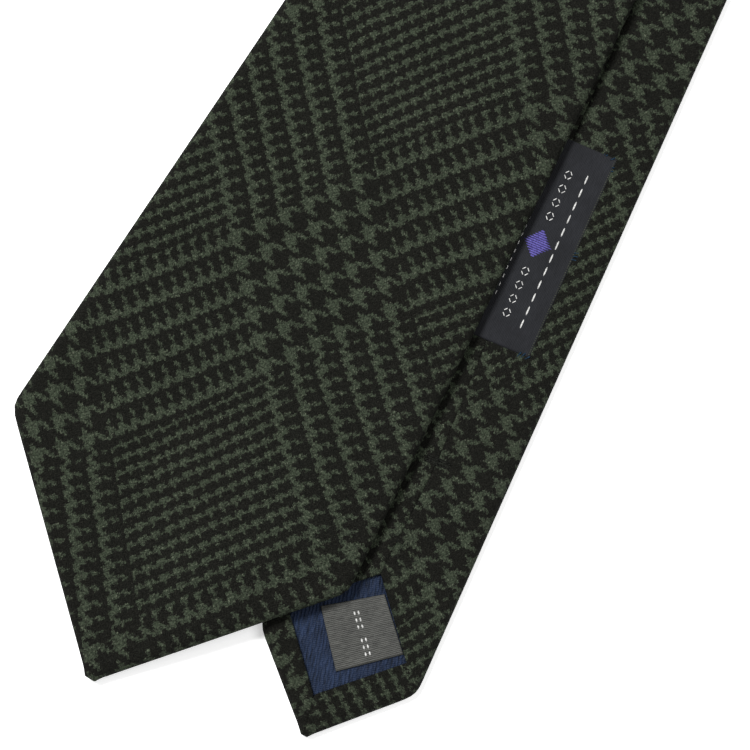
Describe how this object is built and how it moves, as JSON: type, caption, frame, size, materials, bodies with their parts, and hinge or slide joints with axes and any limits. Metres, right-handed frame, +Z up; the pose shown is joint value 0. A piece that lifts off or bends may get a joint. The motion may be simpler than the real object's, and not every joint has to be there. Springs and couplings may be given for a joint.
{
  "type": "necktie",
  "caption": "Wool check necktie folded in half: wide front blade face up over the narrow tail, whose back shows the lining, sewn labels and centre seam.",
  "frame": {"origin": "centre of the bounding box's underside, on the surface that the folded tie lies on", "axes": "+Y along the tie from the blade's point to the neck fold, +Z up out of the blade's face"},
  "size_m": [0.1032, 0.7296, 0.0091],
  "materials": {
    "cloth": "brushed wool twill in a glen check, near black and dark moss green",
    "canvas": "napped wool interlining, ecru",
    "lining": "fine navy twill lining",
    "label": "dark navy woven damask label",
    "satin": "charcoal satin label tape",
    "thread": "black sewing thread",
    "navy_thread": "navy sewing thread"
  },
  "bodies": {
    "tail_half": {"tail_shell": "cloth", "neck_shell_tail_side": "cloth", "tail_interlining": "canvas", "tail_tipping": "lining", "tail_slip_stitch": "thread", "tail_neck_seam": "thread", "tail_bar_tack": "thread", "fabric_label": "label", "label_stitch_1": "navy_thread", "label_stitch_2": "navy_thread", "label_stitch_3": "navy_thread", "label_stitch_4": "navy_thread", "label_stitch_5": "navy_thread", "label_stitch_6": "navy_thread", "neck_shell_fold": "cloth", "interlining_fold": "canvas"},
    "blade_half": {"blade_shell": "cloth", "neck_shell_blade_side": "cloth", "blade_interlining": "canvas", "blade_tipping": "lining", "blade_slip_stitch": "thread", "blade_neck_seam": "thread", "blade_bar_tack": "thread", "keeper_loop": "label", "keeper_end_stitch_1": "navy_thread", "keeper_end_stitch_2": "navy_thread"},
    "care_label": {"care_label": "satin"}
  },
  "joints": [
    {"name": "neck_fold", "type": "hinge", "parent": "tail_half", "child": "blade_half", "pos_m": [-0.01159, 0.36018, 0.00455], "axis": [-1, -0.006, 0], "range_deg": [0, 180], "deforming": ["neck_shell_fold", "interlining_fold"]},
    {"name": "care_label_flap", "type": "hinge", "parent": "tail_half", "child": "care_label", "pos_m": [0.04036, -0.32347, 0.0034], "axis": [-0.7356, 0.6774, 0], "range_deg": [0, 150]}
  ]
}
